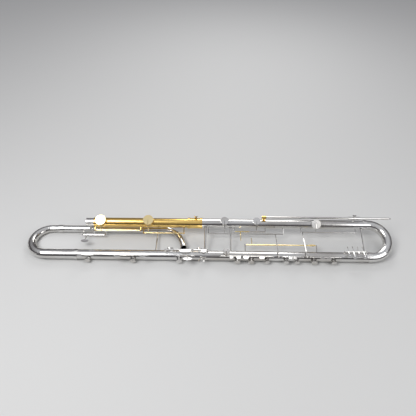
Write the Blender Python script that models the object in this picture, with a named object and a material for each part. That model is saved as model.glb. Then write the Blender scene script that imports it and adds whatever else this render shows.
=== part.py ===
"""Contrabass clarinet body, folded like a paper clip and lying with its keys towards the front.

X runs along the tubes, Y from the front tube to the back tubes and Z is up. Inside the script the
front tube's axis is the line Y = 0, Z = 0, and the last step moves the whole instrument so that it
stands on the ground at the middle of its footprint. An angle on a tube is measured from straight up
towards the front, and a reach is the distance from the tube's axis.
"""
import math

import bmesh
import bpy
from mathutils import Matrix, Vector

MM = 0.001
GAP = 0.3

# Tubes, in millimetres like every size in this script
BODY_RADIUS = 15.0
MIDDLE_RADIUS = 11.0
NECK_RADIUS = 9.6
WALL = 1.0
TUBE_SIDES = 24
TENON_RADIUS = 13.4
FERRULE_WALL = 1.2

# Axes of the parallel tubes as (Y, Z)
FRONT = (0.0, 0.0)
MIDDLE = (110.0, -4.0)
TOP = (107.0, 31.0)

# Ends and joints along X
BOW_START = 498.0
LEFT_JOINT_FRONT = -402.5
LEFT_JOINT_MIDDLE = -474.5
RIGHT_JOINT = 490.0
NECK_JOINT = -140.0
EXTENSION_JOINT = -52.0
EXTENSION_END = -362.0
TENON_END = -386.0
CLAMP_START = -66.0
CLAMP_END = -20.0

# Tone holes and cups
CHIMNEY_RISE = 3.2
CHIMNEY_WALL = 1.4
PAD_OVERHANG = 1.8
CUP_THICKNESS = 3.4
LOW_CUP_RADIUS = 16.5
OPEN_LIFT = 3.0
FINGER_LIFT = 2.0

# Hinges
HINGE_RADIUS = 2.0
HINGE_BORE = 1.3
ROD_RADIUS = 0.9
POST_RADIUS = 1.5
BALL_RADIUS = 2.7
ARM_RADIUS = 1.4
TOUCH_THICKNESS = 2.0

# Hinge lines as (Y, Z)
FINGER_ROW = (-15.0, 15.0)
UPPER_ROW = (3.6, 20.7)
LOW_C_ROW = (86.0, 17.0)
LOW_D_ROW = (84.5, 8.0)
REGISTER_ROW = (83.0, -2.0)
THUMB_ROW = (34.0, 13.0)

# Endpin
PEG_AXIS = (110.0, 57.0)
PEG_RADIUS = 3.1
PEG_BORE = 3.45
PEG_SLEEVE_RADIUS = 5.0
PEG_START = 165.0
PEG_END = 562.0
SCREW_X = 453.0
SCREW_RADIUS = 1.2
SCREW_BORE = 1.6

# Colours
SILVER = ("silver_plate", (0.86, 0.86, 0.84, 1.0))
GOLD = ("lacquered_brass", (0.83, 0.6, 0.2, 1.0))


def clear_scene():
    """Remove everything that a new file brings."""
    for item in list(bpy.data.objects):
        bpy.data.objects.remove(item, do_unlink=True)


def new_collection(name):
    """A collection in the scene."""
    group = bpy.data.collections.new(name)
    bpy.context.scene.collection.children.link(group)
    return group


def point(x, place):
    """The point at this x on a line given by (Y, Z)."""
    return Vector((x, place[0], place[1]))


def spot(tube, x, angle, reach):
    """The point on a tube at this x, angle and reach."""
    turn = math.radians(angle)
    return Vector((x, tube[0] - reach * math.sin(turn), tube[1] + reach * math.cos(turn)))


def outward(angle):
    """The outward direction at this angle."""
    turn = math.radians(angle)
    return Vector((0.0, -math.sin(turn), math.cos(turn)))


def sweep(points, radii, sides=8):
    """A closed solid of round section along a path."""
    mesh = bmesh.new()
    count = len(points)
    if not isinstance(radii, (list, tuple)):
        radii = [radii] * count
    headings = []
    for index in range(count):
        before = points[max(index - 1, 0)]
        after = points[min(index + 1, count - 1)]
        first = (points[index] - before).normalized()
        second = (after - points[index]).normalized()
        headings.append((first + second).normalized())
    side = headings[0].orthogonal().normalized()
    if abs(headings[0].x) > 0.9:
        side = Vector((0.0, 0.0, 1.0))
    rings = []
    for index, heading in enumerate(headings):
        side = (side - heading * side.dot(heading)).normalized()
        other = heading.cross(side)
        ring = []
        for step in range(sides):
            turn = math.tau * (step + 0.5) / sides
            offset = side * math.cos(turn) + other * math.sin(turn)
            ring.append(mesh.verts.new((points[index] + offset * radii[index]) * MM))
        rings.append(ring)
    for ring, following in zip(rings, rings[1:]):
        for step in range(sides):
            nxt = (step + 1) % sides
            mesh.faces.new((ring[step], ring[nxt], following[nxt], following[step]))
    mesh.faces.new(list(reversed(rings[0])))
    mesh.faces.new(rings[-1])
    return finish_solid(mesh)


def finish_solid(mesh):
    """Turn a closed bmesh into a scratch object with its faces outward."""
    bmesh.ops.recalc_face_normals(mesh, faces=mesh.faces)
    data = bpy.data.meshes.new("solid")
    mesh.to_mesh(data)
    mesh.free()
    item = bpy.data.objects.new("solid", data)
    bpy.context.scene.collection.objects.link(item)
    return item


def rod(start, end, radius, sides=8):
    """A straight round bar."""
    return sweep([start, end], radius, sides)


def along(place, start, end, radius, sides=8):
    """A straight round bar along X."""
    return rod(point(start, place), point(end, place), radius, sides)


def ball(centre, radius, stretch=(1.0, 1.0, 1.0)):
    """A small ball, stretched where an oval is needed."""
    mesh = bmesh.new()
    shape = Matrix.Translation(centre * MM) @ Matrix.Diagonal((*stretch, 1.0))
    bmesh.ops.create_uvsphere(mesh, u_segments=8, v_segments=6, radius=radius * MM, matrix=shape)
    return finish_solid(mesh)


def ring(centre, axis, major, minor, sides=20, section=8):
    """A round ring about an axis."""
    mesh = bmesh.new()
    turn = axis.to_track_quat("Z", "Y").to_matrix()
    loops = []
    for step in range(sides):
        angle = math.tau * step / sides
        spoke = turn @ Vector((math.cos(angle), math.sin(angle), 0.0))
        loop = []
        for part in range(section):
            tilt = math.tau * part / section
            offset = spoke * (major + minor * math.cos(tilt)) + axis * (minor * math.sin(tilt))
            loop.append(mesh.verts.new((centre + offset) * MM))
        loops.append(loop)
    for step in range(sides):
        following = loops[(step + 1) % sides]
        for part in range(section):
            nxt = (part + 1) % section
            mesh.faces.new((loops[step][part], loops[step][nxt], following[nxt], following[part]))
    return finish_solid(mesh)


def combine(target, tools, operation, group):
    """Join or cut a solid with others and give the result as a mesh."""
    for tool in tools:
        step = target.modifiers.new(operation, "BOOLEAN")
        step.operation = operation
        step.solver = "EXACT"
        step.object = tool
    graph = bpy.context.evaluated_depsgraph_get()
    result = bpy.data.meshes.new_from_object(target.evaluated_get(graph))
    for tool in tools:
        bpy.data.objects.remove(tool, do_unlink=True)
    bpy.data.objects.remove(target, do_unlink=True)
    item = bpy.data.objects.new("solid", result)
    group.objects.link(item)
    return item


def build(group, name, pieces, cuts=(), look=SILVER, origin=Vector((0.0, 0.0, 0.0))):
    """One named piece of the instrument from overlapping solids and the solids cut from it."""
    item = pieces[0]
    scratch = bpy.context.scene.collection
    if len(pieces) > 1:
        item = combine(item, list(pieces[1:]), "UNION", scratch)
    if cuts:
        item = combine(item, list(cuts), "DIFFERENCE", scratch)
    mesh = bmesh.new()
    mesh.from_mesh(item.data)
    bmesh.ops.remove_doubles(mesh, verts=mesh.verts, dist=0.000002)
    bmesh.ops.dissolve_degenerate(mesh, dist=0.000002, edges=mesh.edges)
    bmesh.ops.translate(mesh, verts=mesh.verts, vec=-origin * MM)
    mesh.to_mesh(item.data)
    mesh.free()
    item.name = name
    item.data.name = name
    item.location = origin * MM
    scratch.objects.unlink(item)
    group.objects.link(item)
    surface = bpy.data.materials.new(name)
    surface.use_nodes = True
    shader = surface.node_tree.nodes["Principled BSDF"]
    shader.inputs["Base Color"].default_value = look[1]
    shader.inputs["Metallic"].default_value = 1.0
    shader.inputs["Roughness"].default_value = 0.2
    surface.diffuse_color = look[1]
    item.data.materials.clear()
    item.data.materials.append(surface)
    item.data.shade_smooth()
    item.data.set_sharp_from_angle(angle=math.radians(35.0))
    return item


def pillar(tube, radius, row, x):
    """A post from a tube to a hinge line, with its ball top."""
    top = point(x, row)
    axis = point(x, tube)
    foot = axis + (top - axis).normalized() * (radius - 0.5 * WALL)
    return [rod(foot, top, POST_RADIUS), ball(top, BALL_RADIUS)]


def carrier(tube, radius, row, stations):
    """Posts at these stations with the steel rod that runs through them."""
    solids = []
    for x in stations:
        solids += pillar(tube, radius, row, x)
    solids.append(along(row, min(stations), max(stations), ROD_RADIUS))
    return solids


def chimney(tube, radius, x, angle, cup):
    """The rim of a tone hole, and the hole that is cut through it and the wall."""
    outer = cup - PAD_OVERHANG
    foot = spot(tube, x, angle, radius * 0.45)
    rim = spot(tube, x, angle, radius + CHIMNEY_RISE)
    over = spot(tube, x, angle, radius + CHIMNEY_RISE + 2.0)
    return rod(foot, rim, outer, 16), rod(foot, over, outer - CHIMNEY_WALL, 16)


def hollow_tube(group, name, tube, start, end, radius, holes=(), fittings=(), look=SILVER, wall=WALL):
    """A straight tube with its tone holes, posts and rods."""
    rims = []
    cuts = [along(tube, start - 2.0, end + 2.0, radius - wall, TUBE_SIDES)]
    for x, angle, cup in holes:
        rim, hole = chimney(tube, radius, x, angle, cup)
        rims.append(rim)
        cuts.append(hole)
    body = along(tube, start, end, radius, TUBE_SIDES)
    return build(group, name, [body, *rims, *fittings], cuts, look)


def ferrule(group, name, tube, middle, half, radius, look=SILVER):
    """A sleeve over the joint of two tubes."""
    inner = radius + GAP
    solid = along(tube, middle - half, middle + half, inner + FERRULE_WALL, TUBE_SIDES)
    bore = along(tube, middle - half - 2.0, middle + half + 2.0, inner, TUBE_SIDES)
    return build(group, name, [solid], [bore], look)


def cup_with_arm(tube, radius, row, x, angle, cup, lift, way=()):
    """A cup over its tone hole and the arm from the hinge line, round the tube, to the cup's back."""
    under = radius + CHIMNEY_RISE + lift
    seat = spot(tube, x, angle, under)
    crown = spot(tube, x, angle, under + CUP_THICKNESS)
    normal = outward(angle)
    start = point(x, row)
    aside = start - seat
    aside = (aside - normal * aside.dot(normal)).normalized()
    knee = crown + aside * (cup - 1.5)
    path = [start, *way, knee, crown - normal * 0.4]
    return [rod(seat, crown, cup, 16), sweep(path, ARM_RADIUS, 6)]


def touch(row, x, start, end, centre, width, slope=0.0):
    """A finger plate along X and the arm that carries it from the hinge line."""
    place = point(x, centre)
    middle = Vector(((start + end) / 2.0, centre[0], centre[1]))
    plate = rod(middle - Vector((0, 0, TOUCH_THICKNESS / 2)), middle + Vector((0, 0, TOUCH_THICKNESS / 2)), 1.0, 16)
    for vertex in plate.data.vertices:
        side = vertex.co - middle * MM
        side.x *= (end - start) / 2.0
        side.y *= width / 2.0
        side.z += side.y * slope
        vertex.co = middle * MM + side
    return [sweep([point(x, row), place], ARM_RADIUS, 6), plate]


def key(group, name, row, start, end, extras, look=SILVER):
    """A key: its hinge tube on a row, with cups, arms and touches, bored for the steel rod."""
    solid = along(row, start, end, HINGE_RADIUS, 10)
    bore = along(row, start - 3.0, end + 3.0, HINGE_BORE, 10)
    return build(group, name, [solid, *extras], [bore], look, point((start + end) / 2.0, row))


def arc(start, end, bulge, steps, squash=0.0):
    """A half turn from one tube's end to the other's, bulging away from both."""
    middle = (start + end) / 2.0
    half = (start - end) / 2.0
    path = []
    for step in range(steps + 1):
        turn = math.pi * step / steps
        path.append(middle + half * math.cos(turn) + bulge * math.sin(turn))
    return path


def bow(group, name, start, end, bulge, start_joint, end_joint, start_radius, end_radius):
    """A bow from joint to joint: two straight ends and a half turn, hollow throughout."""
    turn = arc(start, end, bulge, 18)
    first = Vector((start_joint, start.y, start.z))
    last = Vector((end_joint, end.y, end.z))
    path = [first, *turn, last]
    count = len(path) - 1
    radii = []
    for index in range(count + 1):
        share = min(max((index - 1) / (count - 2), 0.0), 1.0)
        radii.append(start_radius + (end_radius - start_radius) * share)
    back = (first - start).normalized() * 4.0
    bore_path = [first + back, *turn, last + back]
    outer = sweep(path, radii, TUBE_SIDES)
    inner = sweep(bore_path, [value - WALL for value in radii], TUBE_SIDES)
    return build(group, name, [outer], [inner])


def air_path(group):
    """The tubes, bows, ferrules and the bell and neck ends."""
    front_fittings = []
    front_fittings += carrier(FRONT, BODY_RADIUS, FINGER_ROW, (-396.0, -345.0))
    front_fittings += carrier(FRONT, BODY_RADIUS, FINGER_ROW, (-285.0, -180.0))
    front_fittings += carrier(FRONT, BODY_RADIUS, FINGER_ROW, (-98.0, -42.0))
    front_fittings += carrier(FRONT, BODY_RADIUS, FINGER_ROW, (36.0, 102.0, 196.0))
    front_fittings += carrier(FRONT, BODY_RADIUS, FINGER_ROW, (222.0, 284.0))
    front_fittings += carrier(FRONT, BODY_RADIUS, FINGER_ROW, (306.0, 396.0))
    front_fittings += carrier(FRONT, BODY_RADIUS, UPPER_ROW, (-130.0, -48.0, -2.0))
    front_fittings += carrier(FRONT, BODY_RADIUS, UPPER_ROW, (413.0, 479.0))
    front_fittings += carrier(FRONT, BODY_RADIUS, THUMB_ROW, (113.0, 332.0))
    holes = (
        (-365.0, 95.0, 8.0),
        (-228.0, 95.0, 9.0),
        (-117.0, -58.0, 10.0),
        (-28.0, -58.0, 8.0),
        (-88.0, 95.0, 8.5),
        (55.0, 4.0, 10.6),
        (88.0, 95.0, 9.0),
        (130.0, 95.0, 9.0),
        (178.0, 95.0, 7.5),
        (236.0, 95.0, 8.0),
        (268.0, 95.0, 8.0),
        (320.0, 95.0, 9.0),
        (380.0, 95.0, 8.0),
    )
    start = LEFT_JOINT_FRONT + GAP / 2.0
    hollow_tube(group, "front_tube", FRONT, start, RIGHT_JOINT - GAP / 2.0, BODY_RADIUS, holes, front_fittings)

    middle_fittings = carrier(MIDDLE, MIDDLE_RADIUS, REGISTER_ROW, (-400.0, -329.0))
    start = LEFT_JOINT_MIDDLE + GAP / 2.0
    end = NECK_JOINT - GAP / 2.0
    hollow_tube(group, "middle_tube", MIDDLE, start, end, MIDDLE_RADIUS, ((-365.0, 10.0, 6.5),), middle_fittings)

    top_fittings = carrier(TOP, BODY_RADIUS, LOW_C_ROW, (80.0, 178.0))
    top_fittings += carrier(TOP, BODY_RADIUS, LOW_C_ROW, (290.0, 462.0))
    top_fittings += carrier(TOP, BODY_RADIUS, LOW_D_ROW, (0.0, 235.0))
    start = EXTENSION_JOINT + GAP / 2.0
    end = RIGHT_JOINT - GAP / 2.0
    top_holes = ((150.0, 20.0, 12.0), (335.0, 42.0, 14.5), (50.0, 20.0, 13.0))
    hollow_tube(group, "top_tube", TOP, start, end, BODY_RADIUS, top_holes, top_fittings)

    low_fittings = carrier(TOP, BODY_RADIUS, LOW_C_ROW, (-358.0, -214.0))
    low_fittings += carrier(TOP, BODY_RADIUS, LOW_D_ROW, (-206.0, -78.0))
    low_holes = ((-338.0, 27.0, LOW_CUP_RADIUS), (-189.0, 22.5, LOW_CUP_RADIUS))
    start = EXTENSION_END + GAP / 2.0
    end = EXTENSION_JOINT - GAP / 2.0
    hollow_tube(group, "low_extension", TOP, start, end, BODY_RADIUS, low_holes, low_fittings, GOLD)
    end = EXTENSION_END - GAP / 2.0
    hollow_tube(group, "bell_tenon", TOP, TENON_END, end, TENON_RADIUS)

    left_front = point(-BOW_START, FRONT)
    left_middle = point(-BOW_START, MIDDLE)
    outward_left = Vector((-54.0, 0.0, 0.0))
    front_end = LEFT_JOINT_FRONT - GAP / 2.0
    middle_end = LEFT_JOINT_MIDDLE - GAP / 2.0
    bow(group, "left_bow", left_front, left_middle, outward_left, front_end, middle_end, BODY_RADIUS, MIDDLE_RADIUS)
    right_front = point(BOW_START, FRONT)
    right_top = point(BOW_START, TOP)
    outward_right = Vector((55.7, 0.0, 0.0))
    joint = RIGHT_JOINT + GAP / 2.0
    bow(group, "right_bow", right_front, right_top, outward_right, joint, joint, BODY_RADIUS, BODY_RADIUS)

    ferrule(group, "left_bow_front_ferrule", FRONT, LEFT_JOINT_FRONT, 4.5, BODY_RADIUS)
    ferrule(group, "left_bow_middle_ferrule", MIDDLE, LEFT_JOINT_MIDDLE, 8.0, MIDDLE_RADIUS)
    ferrule(group, "right_bow_front_ferrule", FRONT, RIGHT_JOINT, 5.0, BODY_RADIUS)
    ferrule(group, "right_bow_top_ferrule", TOP, RIGHT_JOINT, 5.0, BODY_RADIUS)
    ferrule(group, "neck_bend_ferrule", MIDDLE, NECK_JOINT, 6.0, MIDDLE_RADIUS)

    way = [
        Vector((NECK_JOINT + GAP / 2.0, *MIDDLE)),
        Vector((-131.0, 110.0, -4.0)),
        Vector((-117.0, 104.0, -4.0)),
        Vector((-105.0, 95.0, -4.0)),
        Vector((-90.0, 75.0, -4.0)),
        Vector((-82.0, 55.0, -4.0)),
        Vector((-79.0, 44.0, -4.0)),
        Vector((-77.0, 36.0, -4.2)),
    ]
    radii = [MIDDLE_RADIUS, MIDDLE_RADIUS] + [NECK_RADIUS] * 6
    bore_way = [way[0] - Vector((2.0, 0, 0)), *way[1:-1], way[-1] + (way[-1] - way[-2]) * 0.4]
    inner = sweep(bore_way, [value - WALL for value in radii], TUBE_SIDES)
    build(group, "neck_bend", [sweep(way, radii, TUBE_SIDES)], [inner])
    heading = (way[-1] - way[-2]).normalized()
    mouth = way[-1] + heading * 1.5
    back = way[-1] - heading * 5.0
    collar = rod(back, mouth, NECK_RADIUS + 2.0, TUBE_SIDES)
    bore = rod(back - heading * 2.0, mouth + heading * 2.0, NECK_RADIUS + 0.6, TUBE_SIDES)
    build(group, "neck_receiver", [collar], [bore])


def clamp_and_braces(group):
    """The extension's clamp, the braces between the tubes and the strap ring."""
    clamp = along(TOP, CLAMP_START, CLAMP_END, BODY_RADIUS + GAP + FERRULE_WALL, TUBE_SIDES)
    bands = [
        along(TOP, x, x + 7.0, BODY_RADIUS + GAP + 2.2, TUBE_SIDES)
        for x in (CLAMP_START, CLAMP_END - 7.0)
    ]
    boss = rod(spot(TOP, -40.0, -12.0, 15.8), spot(TOP, -40.0, -12.0, 21.0), 3.6, 12)
    bore = along(TOP, CLAMP_START - 2.0, CLAMP_END + 2.0, BODY_RADIUS + GAP, TUBE_SIDES)
    hole = rod(spot(TOP, -40.0, -12.0, 13.0), spot(TOP, -40.0, -12.0, 24.0), SCREW_BORE, 12)
    build(group, "extension_clamp", [clamp, *bands, boss], [bore, hole], GOLD)
    wing_screw(group, "extension_wing_screw", spot(TOP, -40.0, -12.0, 15.6), outward(-12.0), 5.8, GOLD)

    for name, x, tube, radius, thick in (
        ("brace_left", -162.0, MIDDLE, MIDDLE_RADIUS, 2.0),
        ("brace_middle", -10.0, TOP, BODY_RADIUS, 3.2),
        ("brace_near_thumb", 68.6, TOP, BODY_RADIUS, 2.2),
        ("brace_right", 478.0, TOP, BODY_RADIUS, 2.2),
    ):
        back = point(x, tube)
        front = point(x, FRONT)
        heading = (front - back).normalized()
        first = back + heading * (radius + GAP)
        last = front - heading * (BODY_RADIUS + GAP)
        solids = [rod(first, last, thick), rod(first, first + heading * 1.6, thick + 2.0, 12)]
        solids.append(rod(last - heading * 1.6, last, thick + 2.0, 12))
        build(group, name, solids)

    foot = spot(FRONT, -17.0, 68.0, BODY_RADIUS + GAP)
    neck = spot(FRONT, -17.0, 68.0, BODY_RADIUS + 6.0)
    centre = spot(FRONT, -17.0, 68.0, BODY_RADIUS + 14.0)
    axis = outward(68.0).cross(Vector((1.0, 0.0, 0.0))).normalized()
    pad = rod(foot, foot + outward(68.0) * 1.6, 4.5, 12)
    build(group, "strap_ring", [rod(foot, neck, 1.8), pad, ring(centre, axis, 8.8, 1.6)])


def wing_screw(group, name, foot, heading, length, look):
    """A screw with a two-lobed head, turning in its hole."""
    head = foot + heading * length
    side = Vector((1.0, 0.0, 0.0))
    solids = [rod(foot, head + heading * 1.0, SCREW_RADIUS, 10)]
    solids.append(rod(head, head + heading * 2.2, 2.6, 12))
    for sign in (-1.0, 1.0):
        solids.append(rod(head + heading * 1.2, head + heading * 5.0 + side * 5.0 * sign, 1.5, 8))
    return build(group, name, solids, (), look, foot)


def endpin(group):
    """The peg, its bracket and sleeve on the top tube, and its thumbscrew."""
    for name, start, end, look in (
        ("peg_bracket", 166.0, 180.0, GOLD),
        ("peg_sleeve", 435.0, 472.0, SILVER),
    ):
        middle = (start + end) / 2.0
        barrel = along(PEG_AXIS, start, end, PEG_SLEEVE_RADIUS, 16)
        heading = (point(middle, TOP) - point(middle, PEG_AXIS)).normalized()
        foot = point(middle, TOP) - heading * (BODY_RADIUS + GAP)
        stem = rod(point(middle, PEG_AXIS) + heading * 4.0, foot, 3.0, 10)
        base = rod(foot - heading * 1.6, foot, 5.0, 12)
        cuts = [along(PEG_AXIS, start - 2.0, end + 2.0, PEG_BORE, 16)]
        solids = [barrel, stem, base]
        if name == "peg_sleeve":
            up = Vector((SCREW_X, PEG_AXIS[0], PEG_AXIS[1]))
            solids.append(rod(up + Vector((0, 0, 4.3)), up + Vector((0, 0, 8.0)), 3.4, 12))
            cuts.append(rod(up + Vector((0, 0, 2.0)), up + Vector((0, 0, 12.0)), SCREW_BORE, 12))
        build(group, name, solids, cuts, look)
    peg = along(PEG_AXIS, PEG_START, PEG_END, PEG_RADIUS, 16)
    tip = along(PEG_AXIS, PEG_END - 1.0, PEG_END + 6.0, 2.2, 12)
    build(group, "peg_rod", [peg, tip], (), SILVER, point(PEG_START, PEG_AXIS))
    foot = Vector((SCREW_X, PEG_AXIS[0], PEG_AXIS[1] + PEG_BORE + 0.1))
    wing_screw(group, "peg_thumbscrew", foot, Vector((0.0, 0.0, 1.0)), 4.9, SILVER)


def front_key(group, name, start, end, holes, plates, row=FINGER_ROW):
    """A key on the front tube with any number of cups and touches."""
    extras = []
    for x, angle, cup in holes:
        lift = FINGER_LIFT if angle > 60.0 else GAP
        extras += cup_with_arm(FRONT, BODY_RADIUS, row, x, angle, cup, lift)
    for x, left, right, centre, width in plates:
        extras += touch(row, x, left, right, centre, width)
    key(group, name, row, start, end, extras)


def keywork(group):
    """Every key, lever and rod that turns."""
    front_key(group, "throat_g_sharp_key", -393.0, -348.0, ((-365.0, 95.0, 8.0),),
              ((-385.0, -392.0, -377.0, (-24.0, 22.0), 10.0),))
    front_key(group, "throat_a_key", -282.0, -183.0, ((-228.0, 95.0, 9.0),),
              ((-196.0, -205.0, -187.0, (-25.0, 21.0), 9.0), (-272.0, -281.0, -262.0, (-24.0, 21.0), 10.0)))
    front_key(group, "left_index_key", -127.0, -51.0, ((-117.0, -58.0, 10.0),),
              ((-70.0, -87.0, -52.0, (-6.0, 27.0), 11.0),), UPPER_ROW)
    front_key(group, "left_thumb_key", -45.0, -5.0, ((-28.0, -58.0, 8.0),),
              ((-14.0, -22.0, -7.0, (-6.0, 27.0), 10.0),), UPPER_ROW)
    front_key(group, "left_middle_key", -95.0, -45.0, ((-88.0, 95.0, 8.5),),
              ((-62.0, -76.0, -48.0, (-27.0, 15.0), 11.0),))
    front_key(group, "right_index_key", 39.0, 75.0, ((55.0, 4.0, 10.6),),
              ((70.0, 64.0, 74.5, (-25.0, 21.0), 9.0),))
    front_key(group, "right_middle_key", 75.4, 99.0, ((88.0, 95.0, 9.0),),
              ((92.0, 84.0, 98.0, (-25.0, 21.0), 9.0),))
    front_key(group, "right_ring_key", 105.0, 150.0, ((130.0, 95.0, 9.0),),
              ((112.0, 104.0, 121.0, (-25.0, 21.0), 10.0),))
    front_key(group, "right_little_key", 150.4, 193.0, ((178.0, 95.0, 7.5),),
              ((160.0, 152.0, 169.0, (-25.0, 21.0), 9.0),))
    front_key(group, "f_sharp_trill_key", 225.0, 251.6, ((236.0, 95.0, 8.0),),
              ((246.0, 240.0, 251.0, (-25.0, 21.0), 8.0),))
    front_key(group, "low_g_sharp_key", 252.0, 281.0, ((268.0, 95.0, 8.0),),
              ((258.0, 253.0, 264.0, (-25.0, 21.0), 8.0),))
    front_key(group, "low_f_sharp_key", 309.0, 350.0, ((320.0, 95.0, 9.0),),
              ((342.0, 334.0, 349.0, (-25.0, 21.0), 9.0),))
    front_key(group, "low_f_key", 350.4, 393.0, ((380.0, 95.0, 8.0),),
              ((360.0, 352.0, 368.0, (-25.0, 21.0), 9.0),))

    levers = ("low_e_lever", "low_e_flat_lever", "low_d_lever", "low_c_sharp_lever")
    width = (479.0 - 413.0 - 6.0 - 3.0 * 0.4) / 4.0
    for index, name in enumerate(levers):
        start = 416.0 + index * (width + 0.4)
        middle = start + width / 2.0
        reach = (-17.0, 22.0) if index % 2 else (-15.0, 24.0)
        extras = touch(UPPER_ROW, middle, start + 0.6, start + width - 0.6, reach, 16.0)
        tail = [point(middle, UPPER_ROW), point(middle, (16.0, 22.0)), point(middle, (24.0, 20.0))]
        extras.append(sweep(tail, ARM_RADIUS, 6))
        key(group, name, UPPER_ROW, start, start + width, extras)

    register = cup_with_arm(MIDDLE, MIDDLE_RADIUS, REGISTER_ROW, -365.0, 10.0, 6.5, GAP)
    register += touch(REGISTER_ROW, -385.0, -396.0, -372.0, (44.0, 12.0), 11.0)
    key(group, "register_key", REGISTER_ROW, -397.0, -332.0, register)

    low_c = cup_with_arm(TOP, BODY_RADIUS, LOW_C_ROW, -338.0, 27.0, LOW_CUP_RADIUS, OPEN_LIFT,
                         (spot(TOP, -338.0, 85.0, 24.5),))
    key(group, "low_c_key", LOW_C_ROW, -355.0, -217.0, low_c, GOLD)
    low_d = cup_with_arm(TOP, BODY_RADIUS, LOW_D_ROW, -189.0, 22.5, LOW_CUP_RADIUS, OPEN_LIFT,
                         (spot(TOP, -189.0, 100.0, 27.5), spot(TOP, -189.0, 75.0, 25.0)))
    key(group, "low_d_key", LOW_D_ROW, -203.0, -81.0, low_d, GOLD)

    low_b = cup_with_arm(TOP, BODY_RADIUS, LOW_C_ROW, 150.0, 20.0, 12.0, GAP,
                         (spot(TOP, 150.0, 85.0, 24.5),))
    key(group, "low_b_vent_key", LOW_C_ROW, 128.0, 175.0, low_b)
    low_c_sharp = [sweep([point(100.0, LOW_C_ROW), Vector((100.0, 60.0, 21.0)), Vector((100.0, 46.0, 19.0))],
                         ARM_RADIUS, 6)]
    key(group, "thumb_transfer_rod", LOW_C_ROW, 83.0, 127.6, low_c_sharp, GOLD)

    long_way = [point(210.0, LOW_D_ROW), Vector((210.0, 62.0, 17.0)), Vector((210.0, 32.0, 21.5)),
                Vector((210.0, 0.0, 23.0)), Vector((210.0, -20.0, 22.0))]
    long_lever = [sweep(long_way, ARM_RADIUS, 6)]
    long_lever += cup_with_arm(TOP, BODY_RADIUS, LOW_D_ROW, 50.0, 20.0, 13.0, GAP,
                               (spot(TOP, 50.0, 100.0, 27.5), spot(TOP, 50.0, 75.0, 25.0)))
    long_lever.append(ball(Vector((210.0, -20.0, 22.0)), 3.4))
    key(group, "long_lever_rod", LOW_D_ROW, 3.0, 232.0, long_lever)

    flat_way = [point(295.0, LOW_C_ROW), Vector((295.0, 60.0, 19.0)), Vector((295.0, 32.0, 21.5)),
                Vector((295.0, 0.0, 23.0)), Vector((295.0, -20.0, 22.0))]
    flat = [sweep(flat_way, ARM_RADIUS, 6), ball(Vector((295.0, -20.0, 22.0)), 3.4)]
    flat += cup_with_arm(TOP, BODY_RADIUS, LOW_C_ROW, 335.0, 42.0, 14.5, GAP,
                         (spot(TOP, 335.0, 85.0, 24.5),))
    key(group, "low_e_flat_key", LOW_C_ROW, 293.3, 459.0, flat)

    thumb = touch(THUMB_ROW, 320.0, 304.0, 328.0, (27.0, 21.0), 7.0)
    thumb.append(sweep([point(134.0, THUMB_ROW), Vector((134.0, 50.0, 13.0)), Vector((134.0, 64.0, 10.0))],
                       ARM_RADIUS, 6))
    key(group, "thumb_lever", THUMB_ROW, 116.0, 329.0, thumb, GOLD)


def stand(group):
    """Move the instrument so that its lowest points touch the ground at the footprint's middle."""
    low = Vector((1e9, 1e9, 1e9))
    high = -low
    for item in group.objects:
        for vertex in item.data.vertices:
            place = vertex.co + item.location
            for axis in range(3):
                low[axis] = min(low[axis], place[axis])
                high[axis] = max(high[axis], place[axis])
    shift = Vector((-(low.x + high.x) / 2.0, -(low.y + high.y) / 2.0, -low.z))
    for item in group.objects:
        item.location = item.location + shift


clear_scene()
parts = new_collection("contrabass_clarinet")
air_path(parts)
clamp_and_braces(parts)
endpin(parts)
keywork(parts)
stand(parts)
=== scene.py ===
# %% [markdown]
# # Contrabass clarinet body
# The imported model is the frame. This script gives each piece its metal, adds the pads under the
# large low-note cups, and sets the camera of the photograph, a pale floor and soft light.

# %%
import math

import bpy
from mathutils import Matrix, Vector


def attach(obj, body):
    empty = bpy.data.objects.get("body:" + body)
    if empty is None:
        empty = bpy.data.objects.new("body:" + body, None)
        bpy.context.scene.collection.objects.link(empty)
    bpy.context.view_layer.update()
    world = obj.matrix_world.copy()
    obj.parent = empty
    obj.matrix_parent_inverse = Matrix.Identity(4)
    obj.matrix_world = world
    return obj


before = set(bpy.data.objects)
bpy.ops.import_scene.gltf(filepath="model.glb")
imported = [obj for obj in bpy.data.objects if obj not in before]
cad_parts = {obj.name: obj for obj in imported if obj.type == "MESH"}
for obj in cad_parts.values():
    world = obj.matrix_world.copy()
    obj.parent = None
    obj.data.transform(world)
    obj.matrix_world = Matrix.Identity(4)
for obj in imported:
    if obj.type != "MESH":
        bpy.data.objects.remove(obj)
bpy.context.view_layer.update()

# %% [markdown]
# ## Metal finishes
# A shared group gives fine handling marks and slight unevenness, from object coordinates.


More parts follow.
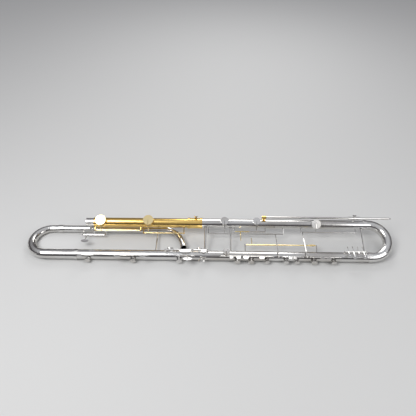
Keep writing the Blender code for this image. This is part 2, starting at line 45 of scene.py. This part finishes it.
# %%
def wear_group():
    """Roughness and a small surface ripple that any plated metal can use."""
    group = bpy.data.node_groups.new("plated_wear", "ShaderNodeTree")
    group.interface.new_socket("Base", in_out="INPUT", socket_type="NodeSocketFloat")
    group.interface.new_socket("Roughness", in_out="OUTPUT", socket_type="NodeSocketFloat")
    group.interface.new_socket("Tarnish", in_out="OUTPUT", socket_type="NodeSocketFloat")
    group.interface.new_socket("Normal", in_out="OUTPUT", socket_type="NodeSocketVector")
    nodes, links = group.nodes, group.links
    start = nodes.new("NodeGroupInput")
    end = nodes.new("NodeGroupOutput")
    place = nodes.new("ShaderNodeTexCoord")
    smears = nodes.new("ShaderNodeTexNoise")
    smears.inputs["Scale"].default_value = 35.0
    smears.inputs["Detail"].default_value = 5.0
    links.new(place.outputs["Object"], smears.inputs["Vector"])
    spread = nodes.new("ShaderNodeMapRange")
    spread.inputs["To Min"].default_value = -0.03
    spread.inputs["To Max"].default_value = 0.1
    links.new(smears.outputs["Fac"], spread.inputs["Value"])
    total = nodes.new("ShaderNodeMath")
    links.new(start.outputs["Base"], total.inputs[0])
    links.new(spread.outputs["Result"], total.inputs[1])
    links.new(total.outputs[0], end.inputs["Roughness"])
    clouds = nodes.new("ShaderNodeTexNoise")
    clouds.inputs["Scale"].default_value = 9.0
    links.new(place.outputs["Object"], clouds.inputs["Vector"])
    shade = nodes.new("ShaderNodeMapRange")
    shade.inputs["From Min"].default_value = 0.45
    shade.inputs["From Max"].default_value = 0.8
    links.new(clouds.outputs["Fac"], shade.inputs["Value"])
    links.new(shade.outputs["Result"], end.inputs["Tarnish"])
    ripple = nodes.new("ShaderNodeBump")
    ripple.inputs["Strength"].default_value = 0.03
    ripple.inputs["Distance"].default_value = 0.0005
    links.new(smears.outputs["Fac"], ripple.inputs["Height"])
    links.new(ripple.outputs["Normal"], end.inputs["Normal"])
    return group


WEAR = wear_group()


def metal(name, colour, dull, roughness):
    """A polished metal whose colour goes towards a duller one where it is tarnished."""
    surface = bpy.data.materials.new(name)
    surface.use_nodes = True
    nodes, links = surface.node_tree.nodes, surface.node_tree.links
    shader = nodes["Principled BSDF"]
    shader.inputs["Metallic"].default_value = 1.0
    wear = nodes.new("ShaderNodeGroup")
    wear.node_tree = WEAR
    wear.inputs["Base"].default_value = roughness
    mix = nodes.new("ShaderNodeMix")
    mix.data_type = "RGBA"
    mix.inputs["A"].default_value = (*colour, 1.0)
    mix.inputs["B"].default_value = (*dull, 1.0)
    links.new(wear.outputs["Tarnish"], mix.inputs["Factor"])
    links.new(mix.outputs["Result"], shader.inputs["Base Color"])
    links.new(wear.outputs["Roughness"], shader.inputs["Roughness"])
    links.new(wear.outputs["Normal"], shader.inputs["Normal"])
    return surface


SILVER = metal("silver_plate", (0.72, 0.715, 0.7), (0.5, 0.47, 0.43), 0.13)
KEY_SILVER = metal("key_silver", (0.76, 0.75, 0.73), (0.55, 0.52, 0.48), 0.12)
BRASS = metal("lacquered_brass", (0.86, 0.6, 0.2), (0.72, 0.45, 0.13), 0.16)
PALE_GOLD = metal("pale_gold", (0.9, 0.75, 0.42), (0.8, 0.6, 0.28), 0.17)
BRASS_NODES = {"low_extension", "extension_clamp", "peg_bracket"}
GOLD_NODES = {"low_c_key", "low_d_key", "thumb_transfer_rod", "thumb_lever", "extension_wing_screw"}
TUBES = {"front_tube", "middle_tube", "top_tube", "left_bow", "right_bow", "neck_bend", "bell_tenon"}

for name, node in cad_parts.items():
    finish = KEY_SILVER
    if name in BRASS_NODES:
        finish = BRASS
    elif name in GOLD_NODES:
        finish = PALE_GOLD
    elif name in TUBES:
        finish = SILVER
    node.material_slots[0].material = finish

# %% [markdown]
# ## Pads of the two low cups
# Each pad is a cream disc with a rounded edge, under a cup that stands open.

# %%
LEATHER = bpy.data.materials.new("pad_leather")
LEATHER.use_nodes = True
shader = LEATHER.node_tree.nodes["Principled BSDF"]
shader.inputs["Base Color"].default_value = (0.72, 0.6, 0.42, 1.0)
shader.inputs["Roughness"].default_value = 0.75

# From the front tube's axis to the origin on the ground
SHIFT = Vector((-0.00183, -0.04391, 0.016393))
TOP_BACK, TOP_HEIGHT = 0.107, 0.031
CUP_UNDERSIDE = 0.0212
PAD_RADIUS = 0.0154
PAD_THICKNESS = 0.0003
PAD_STEPS = 48
HUB_RADIUS = 0.0002
PAD_GAP = 0.00002


def pad(name, body, x, angle):
    """A round pad against a cup's underside, as rings of a turned profile."""
    radius, thickness, steps = PAD_RADIUS, PAD_THICKNESS, PAD_STEPS
    tilt = math.radians(angle)
    normal = Vector((0.0, -math.sin(tilt), math.cos(tilt)))
    centre = Vector((x, TOP_BACK, TOP_HEIGHT)) + normal * CUP_UNDERSIDE + SHIFT
    across = Vector((1.0, 0.0, 0.0))
    other = normal.cross(across)
    edge = 0.4 * thickness
    profile = [(0.0, 0.0), (radius - edge, 0.0), (radius, -edge), (radius, -thickness + edge),
               (radius - edge, -thickness), (0.0, -thickness)]
    points = []
    for reach, drop in profile:
        for step in range(steps):
            turn = math.tau * step / steps
            spoke = across * math.cos(turn) + other * math.sin(turn)
            points.append(centre + spoke * max(reach, HUB_RADIUS) + normal * (drop - PAD_GAP))
    faces = []
    for row in range(len(profile) - 1):
        for step in range(steps):
            following = (step + 1) % steps
            faces.append((row * steps + step, row * steps + following,
                          (row + 1) * steps + following, (row + 1) * steps + step))
    faces.append(list(range(steps))[::-1])
    last = (len(profile) - 1) * steps
    faces.append(list(range(last, last + steps)))
    mesh = bpy.data.meshes.new(name)
    mesh.from_pydata([tuple(place) for place in points], [], faces)
    mesh.materials.append(LEATHER)
    mesh.shade_smooth()
    mesh.set_sharp_from_angle(angle=math.radians(40.0))
    piece = bpy.data.objects.new(name, mesh)
    bpy.context.scene.collection.objects.link(piece)
    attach(piece, body)
    return piece


pad("low_c_pad", "low_c_key", -0.338, 27.0)
pad("low_d_pad", "low_d_key", -0.189, 22.5)

# %% [markdown]
# ## Floor, light and camera

# %%
floor_surface = bpy.data.materials.new("pale_floor")
floor_surface.use_nodes = True
shader = floor_surface.node_tree.nodes["Principled BSDF"]
shader.inputs["Base Color"].default_value = (0.62, 0.62, 0.61, 1.0)
shader.inputs["Roughness"].default_value = 0.8
mesh = bpy.data.meshes.new("floor")
mesh.from_pydata([(-6, -6, 0), (6, -6, 0), (6, 6, 0), (-6, 6, 0)], [], [(0, 1, 2, 3)])
mesh.materials.append(floor_surface)
floor = bpy.data.objects.new("floor", mesh)
bpy.context.scene.collection.objects.link(floor)


def area_light(name, place, target, size, power):
    """A soft square light aimed at a point."""
    light = bpy.data.lights.new(name, "AREA")
    light.size = size
    light.energy = power
    item = bpy.data.objects.new(name, light)
    item.location = place
    item.rotation_euler = (Vector(target) - Vector(place)).to_track_quat("-Z", "Y").to_euler()
    bpy.context.scene.collection.objects.link(item)
    return item


area_light("key_light", (-0.9, -0.7, 1.7), (0, 0, 0), 0.9, 22.0)
area_light("fill_light", (1.4, -0.9, 1.2), (0, 0, 0), 1.2, 10.0)
area_light("back_light", (0.2, 1.5, 1.3), (0, 0, 0), 0.8, 9.0)

world = bpy.data.worlds.new("studio")
bpy.context.scene.world = world
world.use_nodes = True
sky, links = world.node_tree.nodes, world.node_tree.links
place = sky.new("ShaderNodeTexCoord")
split = sky.new("ShaderNodeSeparateXYZ")
ramp = sky.new("ShaderNodeValToRGB")
ramp.color_ramp.elements[0].position = 0.5
ramp.color_ramp.elements[0].color = (0.05, 0.045, 0.05, 1.0)
ramp.color_ramp.elements[1].position = 0.95
ramp.color_ramp.elements[1].color = (0.75, 0.76, 0.8, 1.0)
band = ramp.color_ramp.elements.new(0.7)
band.color = (0.12, 0.11, 0.12, 1.0)
halve = sky.new("ShaderNodeMapRange")
halve.inputs["From Min"].default_value = -1.0
links.new(place.outputs["Generated"], split.inputs["Vector"])
links.new(split.outputs["Z"], halve.inputs["Value"])
links.new(halve.outputs["Result"], ramp.inputs["Fac"])
links.new(ramp.outputs["Color"], sky["Background"].inputs["Color"])
sky["Background"].inputs["Strength"].default_value = 0.8

PLACE = Vector((0.00826, -0.96681, 1.12188)) + SHIFT
RIGHT = Vector((0.99996415, 0.00211727, -0.00819889))
DOWN = Vector((-0.00447246, -0.69011048, -0.72369021))
AHEAD = Vector((-0.00719039, 0.72370094, -0.69007627))
ROLL = 0.01552
FOCAL_PIXELS = 483.627
PHOTO_PIXELS = 416.0
right = RIGHT * math.cos(ROLL) - DOWN * math.sin(ROLL)
down = RIGHT * math.sin(ROLL) + DOWN * math.cos(ROLL)
lens = bpy.data.cameras.new("camera")
lens.sensor_width = 36.0
lens.lens = lens.sensor_width * FOCAL_PIXELS / PHOTO_PIXELS
camera = bpy.data.objects.new("camera", lens)
basis = Matrix((right, -down, -AHEAD)).transposed().to_4x4()
camera.matrix_world = Matrix.Translation(PLACE) @ basis
bpy.context.scene.collection.objects.link(camera)

scene = bpy.context.scene
scene.camera = camera
scene.render.resolution_x = 1024
scene.render.resolution_y = 1024
scene.view_settings.view_transform = "Standard"
